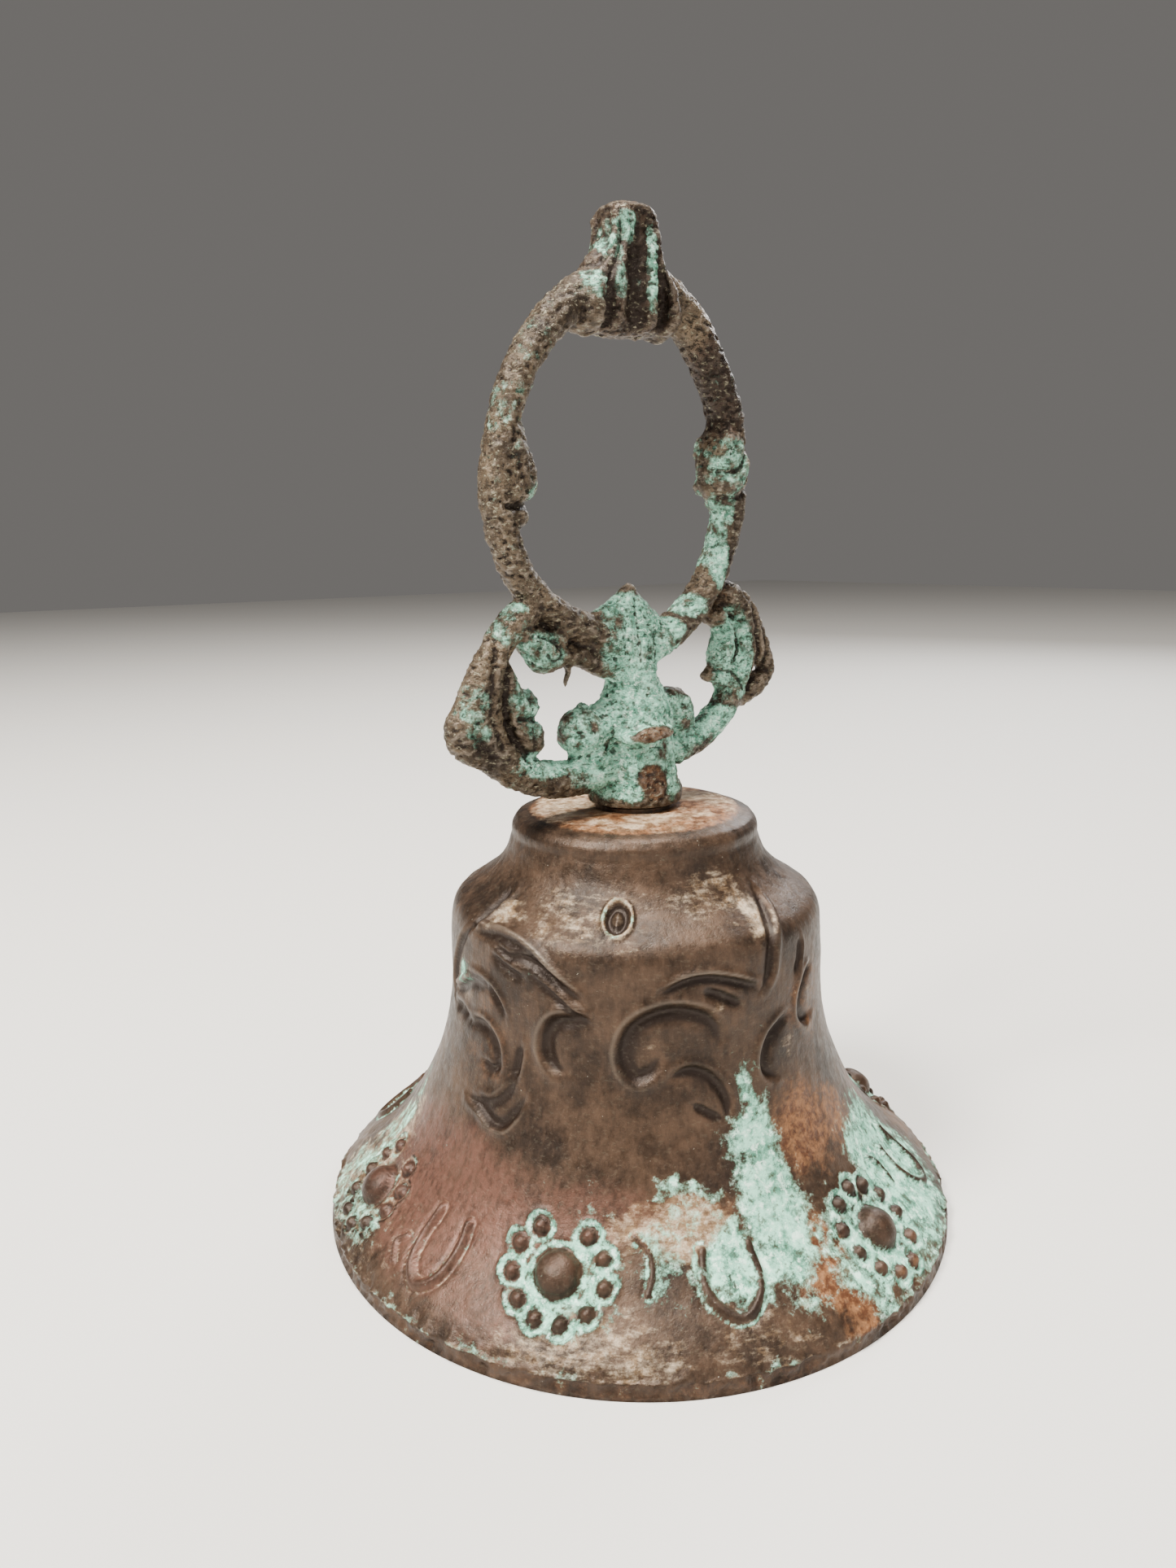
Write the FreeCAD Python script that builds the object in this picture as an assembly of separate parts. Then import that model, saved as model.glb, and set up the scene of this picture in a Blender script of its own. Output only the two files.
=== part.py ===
# Small cast brass hand bell with an openwork scroll handle and a hanging clapper.
# Row frame, millimetres: origin at the centre of the mouth, +Z up, handle across X, front -Y.
import FreeCAD
import Part
import math
import os

V = FreeCAD.Vector
UP = V(0, 0, 1)

# Bell casting
MOUTH_R = 40.0
LIP_HEIGHT = 1.8
LIP_INNER_R = 36.8
CROWN_TOP = 51.4
CROWN_UNDER = 48.4
CROWN_HOLE_R = 2.15

# Ornament on the casting
ORNAMENT_TURN = -38.0
BOSS_R = 2.2
BOSS_SINK = 0.5
BEAD_R = 0.8
BEAD_RING_R = 5.2
BEADS = 10
RIB_R = 0.5

# Handle casting
WASHER_THICK = 0.5
FOOT_Z = CROWN_TOP + WASHER_THICK
FOOT_R = 5.9
BAND_IN_PLANE = 1.95
BAND_DEPTH = 2.4

# M4 thread, drawn as rings of the real pitch and depth
THREAD_R = 2.0
THREAD_ROOT_R = 1.62
THREAD_PITCH = 0.7
THREAD_GAP = 0.04
HOLE_TOP = FOOT_Z + 8.4
STUD_TOP = FOOT_Z + 7.6
STUD_LOW = 42.9

# Inner washer and nut
INNER_WASHER = 0.8
NUT_THICK = 3.2
NUT_FLATS = 7.0

# Eye, link and clapper
EYE_WIRE = 1.1
EYE_MEAN = 3.7
EYE_Z = 40.0
LINK_WIRE = 0.9
LINK_MEAN = 3.6
LOOP_WIRE = 0.9
LOOP_MEAN = 2.6
HANG_GAP = 0.06
BALL_R = 6.5
BALL_Z = 9.0

PIVOT_EYE = EYE_Z - EYE_MEAN
LINK_Z = PIVOT_EYE + EYE_WIRE + LINK_WIRE + HANG_GAP - LINK_MEAN
PIVOT_LINK = LINK_Z - LINK_MEAN
LOOP_Z = PIVOT_LINK + LINK_WIRE + LOOP_WIRE + HANG_GAP - LOOP_MEAN

# Outer wall from the lip up over the rounded shoulder to the crown, and the inner wall back down
OUTER_WALL = [(40.0, 1.8), (36.7, 4.8), (32.8, 8.0), (29.4, 12.0), (26.8, 16.8), (24.7, 22.4),
              (23.5, 28.6), (23.3, 34.4), (22.7, 39.0), (21.5, 41.3), (18.7, 43.2), (16.4, 45.6),
              (15.3, 48.4)]
CROWN_EDGE = [(15.3, 48.4), (15.0, 49.9), (14.3, 50.7)]
INNER_WALL = [(12.6, 48.4), (13.2, 45.8), (14.6, 43.4), (17.2, 41.2), (19.6, 38.8), (20.5, 35.0),
              (20.8, 28.0), (22.0, 22.0), (23.7, 16.8), (26.1, 12.0), (29.3, 8.0), (33.0, 4.2),
              (36.8, 0.0)]


def spline(points):
    curve = Part.BSplineCurve()
    curve.interpolate(points)
    return curve.toShape()


def profile_edge(pairs):
    return spline([V(r, 0, z) for r, z in pairs])


def line(a, b):
    return Part.makeLine(V(a[0], 0, a[1]), V(b[0], 0, b[1]))


def revolve(edges):
    face = Part.Face(Part.Wire(edges))
    return face.revolve(V(0, 0, 0), UP, 360)


def turned(pairs):
    """Solid turned about Z from a closed outline of (radius, height) corners."""
    ends = pairs[1:] + pairs[:1]
    return revolve([line(a, b) for a, b in zip(pairs, ends)])


def outer_radius(z):
    """Radius of the outer wall at height z, for setting ornament on it."""
    level = Part.makeLine(V(0, 0, z), V(60, 0, z))
    cut = profile_edge(OUTER_WALL).distToShape(level)[1]
    return cut[0][0].x


def on_bell(azimuth, z, lift=0.0):
    """Point on the outer wall; azimuth in degrees from the side the ornament is centred on."""
    angle = math.radians(azimuth - 90.0 + ORNAMENT_TURN)
    radius = outer_radius(z) + lift
    return V(radius * math.cos(angle), radius * math.sin(angle), z)


def wall_normal(azimuth, z):
    step = 0.4
    slope = (outer_radius(z + step) - outer_radius(z - step)) / (2 * step)
    angle = math.radians(azimuth - 90.0 + ORNAMENT_TURN)
    normal = V(math.cos(angle), math.sin(angle), -slope)
    return normal.normalize()


def rib(points, radius=RIB_R):
    """Raised line through (azimuth, height) points, half sunk in the wall."""
    path = [on_bell(a, z) for a, z in points]
    wire = Part.Wire([spline(path)])
    edge = wire.Edges[0]
    start = edge.valueAt(edge.FirstParameter)
    tangent = edge.tangentAt(edge.FirstParameter)
    ring = Part.Wire([Part.makeCircle(radius, start, tangent)])
    return wire.makePipeShell([ring], True, False)


def rosette(azimuth, z):
    """A round boss with a ring of small beads."""
    centre = on_bell(azimuth, z)
    normal = wall_normal(azimuth, z)
    across = UP.cross(normal).normalize()
    along = normal.cross(across)
    shapes = [Part.makeSphere(BOSS_R, centre - normal * BOSS_SINK)]
    for i in range(BEADS):
        angle = math.radians(90 + 360.0 * (i + 0.5) / BEADS)
        flat = across * (BEAD_RING_R * math.cos(angle)) + along * (BEAD_RING_R * math.sin(angle))
        height = (centre + flat).z
        spot = centre + flat
        turn = math.degrees(math.atan2(spot.y, spot.x)) + 90.0 - ORNAMENT_TURN
        shapes.append(Part.makeSphere(BEAD_R, on_bell(turn, height, -0.1)))
    return shapes


def ornament():
    """Six rosettes with a horseshoe between each pair; the low scrollwork is left to the mesh."""
    shapes = []
    for half in (0.0, 180.0):
        for azimuth, z in ((-66.8, 6.8), (-14.8, 8.0), (52.9, 6.7)):
            shapes += rosette(azimuth + half, z)
        for azimuth, top in ((-40.5, 9.6), (17.7, 10.0), (76.0, 9.6)):
            a = azimuth + half
            outline = [(a - 4.8, top), (a - 4.4, 6.4), (a, 4.6), (a + 4.4, 6.4), (a + 4.8, top)]
            shapes.append(rib(outline))
    return shapes


def bell_body():
    outer = [line((LIP_INNER_R, 0), (MOUTH_R, 0)),
             line((MOUTH_R, 0), (MOUTH_R, LIP_HEIGHT)),
             profile_edge(OUTER_WALL),
             profile_edge(CROWN_EDGE),
             line((14.3, 50.7), (6.6, CROWN_TOP)),
             line((6.6, CROWN_TOP), (CROWN_HOLE_R, CROWN_TOP)),
             line((CROWN_HOLE_R, CROWN_TOP), (CROWN_HOLE_R, CROWN_UNDER)),
             line((CROWN_HOLE_R, CROWN_UNDER), (12.6, CROWN_UNDER)),
             profile_edge(INNER_WALL)]
    shell = revolve(outer)
    return shell.fuse(ornament())


def ellipse_section(centre, tangent, in_plane, depth):
    """Oval wire square to a path that lies in the XZ plane; depth runs along Y."""
    points = []
    side = tangent.cross(V(0, 1, 0)).normalize()
    for i in range(8):
        angle = math.pi * i / 4
        points.append(centre + side * (in_plane * math.cos(angle)) + V(0, depth * math.sin(angle), 0))
    curve = Part.BSplineCurve()
    curve.interpolate(points, PeriodicFlag=True)
    return Part.Wire([curve.toShape()])


def band(pairs, size0, size1):
    """Oval bar along a curve of (x, z) points, tapering from size0 to size1."""
    edge = spline([V(x, 0, z) for x, z in pairs])
    wire = Part.Wire([edge])
    first = edge.FirstParameter
    last = edge.LastParameter
    shell = Part.BRepOffsetAPI.MakePipeShell(wire)
    shell.setBiNormalMode(V(0, 1, 0))
    shell.add(ellipse_section(edge.valueAt(first), edge.tangentAt(first), *size0))
    shell.add(ellipse_section(edge.valueAt(last), edge.tangentAt(last), *size1))
    shell.build()
    shell.makeSolid()
    return shell.shape()


def knob(x, z, rx, ry, rz):
    """Ellipsoid lump."""
    ball = Part.makeSphere(1.0)
    matrix = FreeCAD.Matrix()
    matrix.scale(rx, ry, rz)
    ball = ball.transformGeometry(matrix)
    ball.translate(V(x, 0, z))
    return ball


def leaf(pairs, thick):
    """Flat lobed leaf in the handle's plane, its edges eased."""
    edge = spline([V(x, -thick / 2, z) for x, z in pairs + pairs[:1]])
    plate = Part.Face(Part.Wire([edge])).extrude(V(0, thick, 0))
    return plate


def hub():
    """Foot and stem of the handle, turned about Z."""
    stem = [line((0, FOOT_Z), (FOOT_R, FOOT_Z)),
            line((FOOT_R, FOOT_Z), (FOOT_R, FOOT_Z + 1.0)),
            profile_edge([(FOOT_R, FOOT_Z + 1.0), (5.0, 57.0), (5.3, 60.0), (5.2, 63.0), (3.7, 67.2),
                          (4.2, 71.6), (0, 77.6)]),
            line((0, 77.6), (0, FOOT_Z))]
    return revolve(stem)


def tapped_hole():
    """Blind hole with the rings of an M4 thread, a hair wider than the stud."""
    return threads(FOOT_Z - 0.01, HOLE_TOP, THREAD_GAP)


def threads(low, high, grow):
    """Turned bar whose outline steps between thread root and crest at every pitch."""
    pairs = [(0, high), (0, low)]
    count = int((high - low) / THREAD_PITCH)
    base = FOOT_Z - THREAD_PITCH * math.floor((FOOT_Z - low) / THREAD_PITCH)
    pairs.append((THREAD_ROOT_R + grow, low))
    for i in range(count + 1):
        root = base + THREAD_PITCH * i
        if root > low and root + THREAD_PITCH < high:
            pairs.append((THREAD_ROOT_R + grow, root))
            pairs.append((THREAD_R + grow, root + THREAD_PITCH / 2))
            end = root + THREAD_PITCH
    pairs.append((THREAD_ROOT_R + grow, end))
    pairs.append((THREAD_ROOT_R + grow, high))
    return turned(pairs)


def handle_side():
    """Right half of the openwork: loop, knop, scroll, leaf and volutes."""
    loop = band([(4.0, 110.2), (9.5, 107.4), (14.2, 101.6), (16.8, 94.8), (17.4, 88.4), (16.2, 82.0),
                 (13.2, 77.4), (8.4, 73.4), (2.6, 69.8)],
                (2.3, 2.6), (BAND_IN_PLANE, BAND_DEPTH))
    scroll = band([(1.0, 57.6), (8.0, 56.6), (14.8, 57.6), (20.0, 61.4), (22.3, 65.4), (21.0, 70.4),
                   (19.0, 74.4), (15.6, 76.8), (12.8, 75.2)],
                  (BAND_IN_PLANE, 2.2), (1.5, 1.9))
    shapes = [loop, scroll]
    shapes.append(knob(14.0, 89.8, 2.5, 2.6, 4.4))
    shapes.append(knob(7.9, 61.4, 3.2, 2.9, 3.1))
    shapes.append(knob(13.0, 72.0, 3.0, 2.4, 2.8))
    shapes.append(knob(22.6, 64.2, 2.5, 2.2, 2.6))
    shapes.append(knob(17.4, 66.6, 3.6, 1.9, 2.2))
    shapes.append(knob(16.2, 62.9, 3.2, 1.9, 2.1))
    return shapes


def finial():
    """Shell-shaped top: a cap on three lobes that spread into the loop."""
    shapes = [knob(0, 117.6, 4.2, 3.4, 2.4)]
    for x0, x1 in ((0.0, 0.0), (5.2, 2.4), (-5.2, -2.4)):
        low = ellipse_section(V(x0, 0, 106.6), UP, 2.9, 3.4)
        waist = ellipse_section(V((x0 + 2 * x1) / 3, 0, 112.6), UP, 2.2, 3.2)
        high = ellipse_section(V(x1, 0, 117.6), UP, 1.9, 2.8)
        shapes.append(Part.makeLoft([low, waist, high], True, False))
        shapes.append(knob(x0, 106.6, 2.9, 3.4, 1.2))
    return shapes


def handle():
    right = handle_side()
    left = [shape.mirror(V(0, 0, 0), V(1, 0, 0)) for shape in right]
    top_leaf = leaf([(0, 78.6), (3.0, 76.2), (5.4, 73.6), (4.4, 70.6), (0, 68.4), (-4.4, 70.6),
                     (-5.4, 73.6), (-3.0, 76.2)], 5.0)
    casting = hub().fuse(right + left + finial() + [top_leaf])
    return casting.cut(tapped_hole())


def washer(low, high, bore, radius):
    return turned([(bore, low), (radius, low), (radius, high), (bore, high)])


def hex_nut():
    top = CROWN_UNDER - INNER_WASHER
    low = top - NUT_THICK
    corner = NUT_FLATS / math.sqrt(3)
    points = []
    for i in range(7):
        angle = math.radians(60 * i)
        points.append(V(corner * math.cos(angle), corner * math.sin(angle), low))
    prism = Part.Face(Part.makePolygon(points)).extrude(V(0, 0, NUT_THICK))
    ease = 0.5
    blank = turned([(0, low), (NUT_FLATS / 2, low), (corner, low + ease), (corner, top - ease),
                    (NUT_FLATS / 2, top), (0, top)])
    return prism.common(blank).cut(threads(low - 0.5, top + 0.5, THREAD_GAP))


def ring(mean, wire, centre, axis):
    return Part.makeTorus(mean, wire, centre, axis)


def eye_stud():
    eye = ring(EYE_MEAN, EYE_WIRE, V(0, 0, EYE_Z), V(0, 1, 0))
    stud = threads(STUD_LOW, STUD_TOP, 0.0)
    return eye.fuse([stud])


def link_ring():
    return ring(LINK_MEAN, LINK_WIRE, V(0, 0, LINK_Z), V(1, 0, 0))


def clapper_rod():
    """Wire bent into a loop at the top, with a crimp above the ball and a peened end below it."""
    loop = ring(LOOP_MEAN, LOOP_WIRE, V(0, 0, LOOP_Z), V(0, 1, 0))
    top = LOOP_Z - LOOP_MEAN
    end = BALL_Z - BALL_R
    shank = Part.makeCylinder(LOOP_WIRE, top - end, V(0, 0, end), UP)
    crimp_low = BALL_Z + BALL_R - 0.1
    crimp = turned([(0, crimp_low), (1.6, crimp_low), (1.6, crimp_low + 1.2), (0, crimp_low + 2.0)])
    peen = turned([(0, end - 0.9), (1.0, end - 0.9), (1.6, end - 0.4), (1.6, end + 0.2), (0, end + 0.2)])
    return loop.fuse([shank, crimp, peen])


def clapper_ball():
    ball = Part.makeSphere(BALL_R, V(0, 0, BALL_Z))
    reach = BALL_R - 0.1
    slab = Part.makeBox(20, 20, reach + BALL_R - 0.2, V(-10, -10, BALL_Z - BALL_R + 0.2))
    ball = ball.common(slab)
    hole = Part.makeCylinder(LOOP_WIRE + 0.03, 2 * BALL_R + 2, V(0, 0, BALL_Z - BALL_R - 1), UP)
    return ball.cut(hole)


NODES = {
    "bell_body": bell_body,
    "handle": handle,
    "seat_washer": lambda: washer(CROWN_TOP, FOOT_Z, CROWN_HOLE_R, 4.9),
    "inner_washer": lambda: washer(CROWN_UNDER - INNER_WASHER, CROWN_UNDER, CROWN_HOLE_R, 4.8),
    "lock_nut": hex_nut,
    "eye_stud": eye_stud,
    "link_ring": link_ring,
    "clapper_rod": clapper_rod,
    "clapper_ball": clapper_ball,
}

os.makedirs("parts", exist_ok=True)
for name, make in NODES.items():
    shape = make()
    if shape.ShapeType == "Compound" and len(shape.Solids) == 1:
        shape = shape.Solids[0]
    print(name, shape.ShapeType, len(shape.Solids), shape.isValid(), round(shape.Volume, 1))
    shape.exportStep("parts/" + name + ".step")
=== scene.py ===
# Old cast brass hand bell: detailed meshes, patina materials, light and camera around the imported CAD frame.
import math

import bpy
import numpy as np
from mathutils import Matrix, Vector, noise


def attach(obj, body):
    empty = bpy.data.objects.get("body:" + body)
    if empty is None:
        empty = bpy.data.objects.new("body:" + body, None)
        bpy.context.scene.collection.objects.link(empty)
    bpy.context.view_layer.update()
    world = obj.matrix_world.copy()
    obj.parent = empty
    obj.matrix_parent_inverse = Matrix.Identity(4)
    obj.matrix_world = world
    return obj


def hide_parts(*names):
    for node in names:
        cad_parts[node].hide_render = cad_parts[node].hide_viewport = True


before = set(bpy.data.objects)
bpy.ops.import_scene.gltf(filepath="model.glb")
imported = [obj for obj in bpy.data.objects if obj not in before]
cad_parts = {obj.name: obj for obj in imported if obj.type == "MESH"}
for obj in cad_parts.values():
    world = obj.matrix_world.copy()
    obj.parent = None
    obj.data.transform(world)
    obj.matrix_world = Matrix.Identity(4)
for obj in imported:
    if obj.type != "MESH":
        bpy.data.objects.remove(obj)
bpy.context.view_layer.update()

MM = 0.001
MOUTH_R = 40.0
FOOT_Z = 51.9
TOP_Z = 120.0

# The handle's plane is X; the ornament is centred on the side that faces the camera.
ORNAMENT_TURN = -38.0

# Rows and columns of the bell's grid
OUTER_COLUMNS = 720
INNER_COLUMNS = 240
WALL_SAMPLES = 600
FLARE_TOP = 12.5

# Mean length in mm of one degree round the waist and round the flare
WAIST_DEGREE = 0.42
FLARE_DEGREE = 0.55

# Distance along the wall given to grid points that are not on it
OFF_THE_WALL = 1e6

# Size of the cubes that fuse the handle's bars into one skin
HANDLE_VOXEL = 0.29


# ---------------------------------------------------------------- curves and grids

def smooth_line(points, count):
    """Centripetal Catmull-Rom line through the points, resampled evenly along its first two values."""
    span_samples = 24
    p = np.array(points, float)
    p = np.vstack([2 * p[0] - p[1], p, 2 * p[-1] - p[-2]])
    gaps = np.linalg.norm(np.diff(p[:, :2], axis=0), axis=1) ** 0.5 + 1e-9
    knots = np.concatenate([[0], np.cumsum(gaps)])
    pieces = []
    for i in range(1, len(p) - 2):
        t0, t1, t2, t3 = knots[i - 1:i + 3]
        t = np.linspace(t1, t2, span_samples, endpoint=False)[:, None]
        a1 = (t1 - t) / (t1 - t0) * p[i - 1] + (t - t0) / (t1 - t0) * p[i]
        a2 = (t2 - t) / (t2 - t1) * p[i] + (t - t1) / (t2 - t1) * p[i + 1]
        a3 = (t3 - t) / (t3 - t2) * p[i + 1] + (t - t2) / (t3 - t2) * p[i + 2]
        b1 = (t2 - t) / (t2 - t0) * a1 + (t - t0) / (t2 - t0) * a2
        b2 = (t3 - t) / (t3 - t1) * a2 + (t - t1) / (t3 - t1) * a3
        pieces.append((t2 - t) / (t2 - t1) * b1 + (t - t1) / (t2 - t1) * b2)
    pieces.append(p[-2:-1])
    line = np.vstack(pieces)
    run = np.concatenate([[0], np.cumsum(np.linalg.norm(np.diff(line[:, :2], axis=0), axis=1))])
    at = np.linspace(0, run[-1], count)
    return np.stack([np.interp(at, run, line[:, k]) for k in range(line.shape[1])], -1)


def step(value, low, high):
    """Smooth 0 to 1 as value goes from low to high (either way round)."""
    t = np.clip((value - low) / (high - low), 0, 1)
    return t * t * (3 - 2 * t)


def field(points, scale, octaves=3, offset=0.0):
    """Fractal noise of about -1 to 1 at each point; its features are about scale mm in size."""
    shift = Vector((offset, offset * 1.7, offset * 0.3))
    out = np.empty(len(points))
    for i, p in enumerate(points):
        out[i] = noise.fractal(Vector(p) / scale + shift, 0.9, 2.1, octaves)
    return out


def add_object(name, data):
    piece = bpy.data.objects.new(name, data)
    bpy.context.scene.collection.objects.link(piece)
    return piece


def make_mesh(name, vertices, faces, masks):
    mesh = bpy.data.meshes.new(name)
    mesh.from_pydata((vertices * MM).tolist(), [], faces)
    mesh.polygons.foreach_set("use_smooth", [True] * len(mesh.polygons))
    mesh.update()
    store_masks(mesh, masks)
    return add_object(name, mesh)


def store_masks(mesh, masks):
    """Six masks per vertex in two colour attributes, read by the materials."""
    for name, keys in (("mask_a", ("verdigris", "rust", "red")), ("mask_b", ("dust", "cavity", "worn"))):
        attribute = mesh.color_attributes.new(name, "FLOAT_COLOR", "POINT")
        values = np.ones((len(mesh.vertices), 4))
        for i, key in enumerate(keys):
            values[:, i] = np.clip(masks[key], 0, 1)
        attribute.data.foreach_set("color", values.ravel())


# ---------------------------------------------------------------- bell casting

OUTER = [(40.0, 1.8), (36.7, 4.8), (32.8, 8.0), (29.4, 12.0), (26.8, 16.8), (24.7, 22.4), (23.5, 28.6),
         (23.3, 34.4), (22.9, 39.4), (22.2, 40.7), (20.6, 41.9), (18.4, 43.4), (16.4, 45.6), (15.3, 48.4)]
BEAD = [(15.3, 48.4), (15.25, 49.6), (14.6, 50.55)]
CROWN = [(14.6, 50.55), (12.6, 51.2), (9.6, 51.38), (6.6, 51.4), (2.15, 51.4)]
BORE = [(2.15, 51.4), (2.15, 48.4)]
CEILING = [(2.15, 48.4), (12.6, 48.4)]
INNER = [(12.6, 48.4), (13.2, 45.8), (14.6, 43.4), (17.2, 41.2), (19.6, 38.8), (20.5, 35.0), (20.8, 28.0),
         (22.0, 22.0), (23.7, 16.8), (26.1, 12.0), (29.3, 8.0), (33.0, 4.2), (36.8, 0.0)]
LIP = [(36.8, 0.0), (40.0, 0.0), (40.0, 1.8)]


def bell_rows():
    """(radius, height, columns) of each ring, from the lip's outer edge over the crown and back inside."""
    outer = smooth_line(OUTER, WALL_SAMPLES)
    split = np.argmin(abs(outer[:, 1] - FLARE_TOP))
    low = outer[np.linspace(0, split, 48).astype(int)]
    high = outer[np.linspace(split, WALL_SAMPLES - 1, 126).astype(int)]
    parts = [(low, OUTER_COLUMNS), (high[1:], OUTER_COLUMNS), (smooth_line(BEAD, 9)[1:], OUTER_COLUMNS),
             (smooth_line(CROWN, 15)[1:], INNER_COLUMNS), (smooth_line(BORE, 3)[1:], INNER_COLUMNS),
             (smooth_line(CEILING, 5)[1:], INNER_COLUMNS), (smooth_line(INNER, 34)[1:], INNER_COLUMNS),
             (smooth_line(LIP[:2], 5)[1:], OUTER_COLUMNS), (smooth_line(LIP[1:], 6)[1:-1], OUTER_COLUMNS)]
    rows = []
    for line, columns in parts:
        rows += [(r, z, columns) for r, z in line]
    return rows


def ring_faces(start_a, count_a, start_b, count_b):
    """Faces between two rings, where one may have a whole multiple of the other's vertices."""
    faces = []
    if count_a >= count_b:
        many = count_a // count_b
        for i in range(count_b):
            j = (i + 1) % count_b
            edge = [start_a + (i * many + k) % count_a for k in range(many + 1)]
            faces.append(edge + [start_b + j, start_b + i])
    else:
        many = count_b // count_a
        for i in range(count_a):
            j = (i + 1) % count_a
            edge = [start_b + (i * many + k) % count_b for k in range(many + 1)]
            faces.append([start_a + i, start_a + j] + edge[::-1])
    return faces


def at_least(layer, pick, value):
    """Raise the picked places of a layer to the value where they are below it."""
    layer[pick] = np.maximum(layer[pick], value)


class Surface:
    """The bell's outer wall laid flat: azimuth in degrees and distance along the wall, with relief on it."""

    def __init__(self, azimuth, along, radius):
        self.azimuth = azimuth
        self.along = along
        self.radius = radius
        for layer in ("height", "cavity", "worn", "halo", "pale", "bare"):
            setattr(self, layer, np.zeros(len(azimuth)))
        line = np.vstack([smooth_line(OUTER, WALL_SAMPLES), smooth_line(BEAD, 40)[1:]])
        self.wall_z = line[:, 1]
        self.wall_s = np.concatenate([[0], np.cumsum(np.linalg.norm(np.diff(line, axis=0), axis=1))])

    def s_of(self, z):
        return np.interp(z, self.wall_z, self.wall_s)

    def offsets(self, azimuth, s):
        turn = (self.azimuth - azimuth + 180.0) % 360.0 - 180.0
        return np.radians(turn) * self.radius, self.along - s

    def near(self, azimuth, z, reach):
        x, y = self.offsets(azimuth, self.s_of(z))
        pick = np.nonzero((abs(x) < reach) & (abs(y) < reach))[0]
        return pick, x[pick], y[pick]

    def near_line(self, points, degree, count, width):
        """Line through (azimuth, z) points, the grid places near it and their offsets from its points."""
        line = smooth_line([(a * degree, self.s_of(z)) for a, z in points], count)
        place = line / [degree, 1.0]
        middle = place.mean(axis=0)
        x, y = self.offsets(middle[0], middle[1])
        reach = np.abs(line - line.mean(axis=0)).max() + 4 * width
        pick = np.nonzero((abs(x) < reach) & (abs(y) < reach))[0]
        px = np.radians(place[:, 0] - middle[0])[None, :] * self.radius[pick][:, None]
        dx = x[pick][:, None] - px
        dy = y[pick][:, None] - (place[:, 1] - middle[1])[None, :]
        return line, pick, dx, dy

    def stroke(self, points, width, groove, rim, side):
        """Tool mark through (azimuth, z) points: a dark groove, partly painted shade, with a raised rim on
        one side of it that is lightened as wear and partly as a painted highlight.
        """
        line, pick, dx, dy = self.near_line(points, WAIST_DEGREE, 60, width)
        far = np.hypot(dx, dy)
        best = far.argmin(axis=1)
        row = np.arange(len(pick))
        d = far[row, best]
        tangent = np.gradient(line, axis=0)
        cross = tangent[best, 0] * dy[row, best] - tangent[best, 1] * dx[row, best]
        signed = np.sign(cross) * d * side
        t = best / (len(line) - 1)
        taper = np.clip(4.8 * t * (1 - t) + 0.15, 0, 1) ** 0.6
        reach_in = np.where(signed > 0, 0.75, 1.25) * width * (0.45 + 0.55 * taper)
        body = np.exp(-(d / reach_in) ** 2) * taper
        edge = np.exp(-((signed - 1.5 * width) / (0.7 * width)) ** 2) * taper
        self.height[pick] += rim * edge - groove * body
        at_least(self.cavity, pick, body)
        at_least(self.worn, pick, min(1.0, 1.6 * rim) * edge * (1 - body))

    def ridge(self, points, width, rise, green):
        """Raised line with a thin pale moat on both sides."""
        line, pick, dx, dy = self.near_line(points, FLARE_DEGREE, 70, width)
        d = np.hypot(dx, dy).min(axis=1)
        body = np.exp(-(d / width) ** 4)
        self.height[pick] += rise * body
        moat = np.exp(-((d - 1.75 * width) / (0.45 * width)) ** 2)
        self.height[pick] -= 0.2 * moat
        at_least(self.cavity, pick, 0.35 * body)
        at_least(self.bare, pick, 0.8 * body)
        at_least(self.pale, pick, moat)
        at_least(self.halo, pick, green * moat)

    def dome(self, azimuth, z, size, rise, green, shift=(0.0, 0.0)):
        """Round bead or boss standing in a small dished seat with a pale edge."""
        pick, x, y = self.near(azimuth, z, 9.0)
        d = np.hypot(x - shift[0], y - shift[1])
        self.height[pick] += rise * np.sqrt(np.clip(1 - (d / size) ** 2, 0, 1))
        seat = np.exp(-((d - size * 1.2) / (0.16 * size + 0.1)) ** 2)
        self.height[pick] -= 0.16 * seat
        ring = np.exp(-((d - size - 0.62) / 0.38) ** 2)
        at_least(self.cavity, pick, 0.28 * (d < size) + 0.4 * seat)
        at_least(self.bare, pick, step(d, size * 1.15, size * 0.95))
        at_least(self.pale, pick, ring)
        at_least(self.halo, pick, green * ring)

    def rosette(self, azimuth, z, missing, green):
        """Boss with a ring of eleven bead places, one left empty on some."""
        self.dome(azimuth, z, 2.45, 1.75, green)
        pick, x, y = self.near(azimuth, z, 10.0)
        rho = np.hypot(x, y)
        side = step(0.7 * x - y, -4.5, 2.5)
        at_least(self.halo, pick, green * 0.72 * side * step(rho, 7.4, 5.0))
        beads = 11
        for k in range(beads):
            if k == 0 and missing:
                continue
            angle = math.radians(90 + 360 * k / beads)
            ring = 5.05 + 0.22 * math.sin(5.1 * k + azimuth)
            bx = ring * math.cos(angle)
            by = ring * math.sin(angle)
            self.dome(azimuth, z, 0.82, 0.66, green, (bx, by))
            d = np.hypot(x - bx, y - by)
            outward = (x - bx) * math.cos(angle) + (y - by) * math.sin(angle)
            arc = np.exp(-((d - 1.62) / 0.2) ** 2) * step(outward, 0.2, 0.9)
            self.height[pick] += 0.22 * arc
            at_least(self.cavity, pick, 0.6 * arc)


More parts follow.
